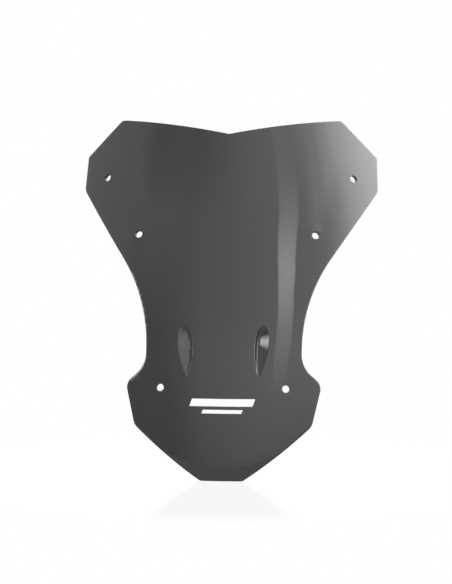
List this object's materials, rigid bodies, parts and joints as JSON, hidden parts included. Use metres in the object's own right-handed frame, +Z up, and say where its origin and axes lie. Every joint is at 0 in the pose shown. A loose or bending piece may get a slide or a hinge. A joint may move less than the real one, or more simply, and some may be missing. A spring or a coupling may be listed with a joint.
{
  "type": "motorcycle windscreen",
  "caption": "Smoke-tinted curved sheet with swept-back upper wings, a notched top, a narrow waist, two teardrop scoops, open screw holes and a plain two-bar film decal.",
  "frame": {"origin": "bottom centre of the bounding box: under the middle of the sheet, at the height of its lowest edge", "axes": "+X to the right as seen from the front, the front of the screen faces -Y, +Z up, the screen leaning back as it does on the motorcycle"},
  "size_m": [0.3766, 0.1748, 0.4414],
  "materials": {
    "smoked_acrylic": "polished dark smoke acrylic",
    "white_film": "satin white adhesive film"
  },
  "bodies": {
    "root": {"windshield_panel": "smoked_acrylic", "front_decal": "white_film"}
  },
  "joints": []
}
